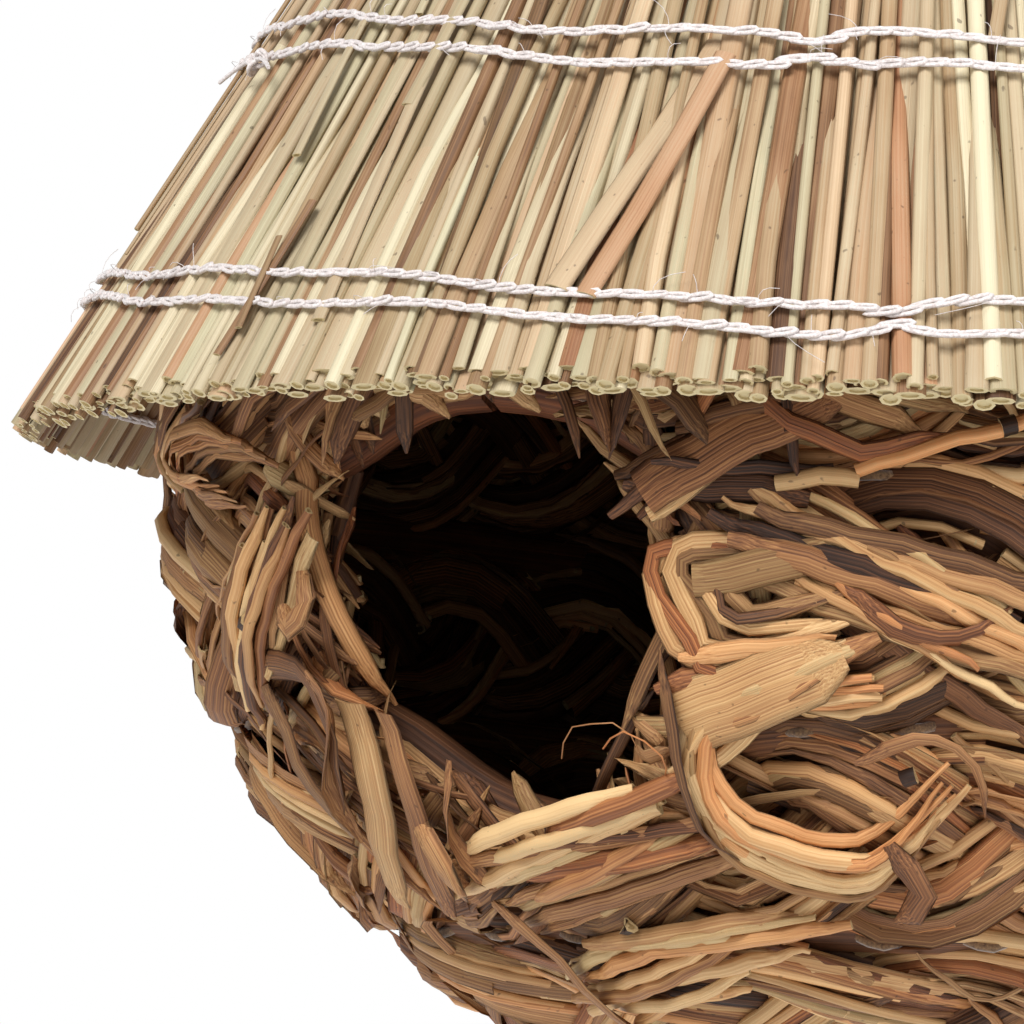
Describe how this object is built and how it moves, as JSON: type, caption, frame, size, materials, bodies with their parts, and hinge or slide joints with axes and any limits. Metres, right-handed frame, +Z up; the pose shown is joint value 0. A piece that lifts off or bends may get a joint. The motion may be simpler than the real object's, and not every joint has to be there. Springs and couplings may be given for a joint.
{
  "type": "insect hotel",
  "caption": "Hanging insect hotel: a round pot of sewn plaited maize leaf with a front entrance, under a conical stitched straw roof that turns and lifts on the hanging wire.",
  "frame": {"origin": "centre of the hanging wire's eye, where the hotel is held", "axes": "+Z up along the hanging wire, -Y towards the side with the entrance, +X to the right of someone facing the entrance"},
  "size_m": [0.25, 0.25, 0.3843],
  "materials": {
    "maize_leaf": "dry, matt, fibrous",
    "leaf_twine": "twisted, matt",
    "straw": "dry straw, satin",
    "cotton_thread": "soft, matt",
    "cotton_twine": "twisted, matt",
    "reed_wood": "smooth reed",
    "stick_wood": "bare wood",
    "galvanised_wire": "galvanised"
  },
  "bodies": {
    "nest_body": {"plait_course_1": "maize_leaf", "plait_course_2": "maize_leaf", "plait_course_3": "maize_leaf", "plait_course_4": "maize_leaf", "plait_course_5": "maize_leaf", "plait_course_6": "maize_leaf", "plait_course_7": "maize_leaf", "plait_course_8": "maize_leaf", "seam_twine_1": "leaf_twine", "seam_twine_2": "leaf_twine", "seam_twine_3": "leaf_twine", "seam_twine_4": "leaf_twine", "seam_twine_5": "leaf_twine", "seam_twine_6": "leaf_twine", "seam_twine_7": "leaf_twine", "seam_twine_8": "leaf_twine", "seam_twine_9": "leaf_twine", "base_coil": "maize_leaf", "crown_coil": "maize_leaf", "hanger_wire": "galvanised_wire", "toggle_stick": "stick_wood"},
    "roof_sleeve": {"roof_sleeve": "reed_wood"},
    "roof": {"outer_straw_mat": "straw", "inner_straw_mat": "straw", "thread_row_1": "cotton_thread", "thread_row_2": "cotton_thread", "thread_row_3": "cotton_thread", "thread_row_4": "cotton_thread", "thread_row_5": "cotton_thread", "thread_row_6": "cotton_thread", "thread_row_7": "cotton_thread", "thread_row_8": "cotton_thread", "neck_binding": "cotton_twine", "thread_knot": "cotton_thread"}
  },
  "joints": [
    {"name": "roof_lift", "type": "slide", "parent": "nest_body", "child": "roof_sleeve", "axis": [0, 0, 1], "range_m": [0, 0.05]},
    {"name": "roof_turn", "type": "hinge", "parent": "roof_sleeve", "child": "roof", "pos_m": [0, 0, -0.1], "axis": [0, 0, 1], "continuous": true}
  ]
}
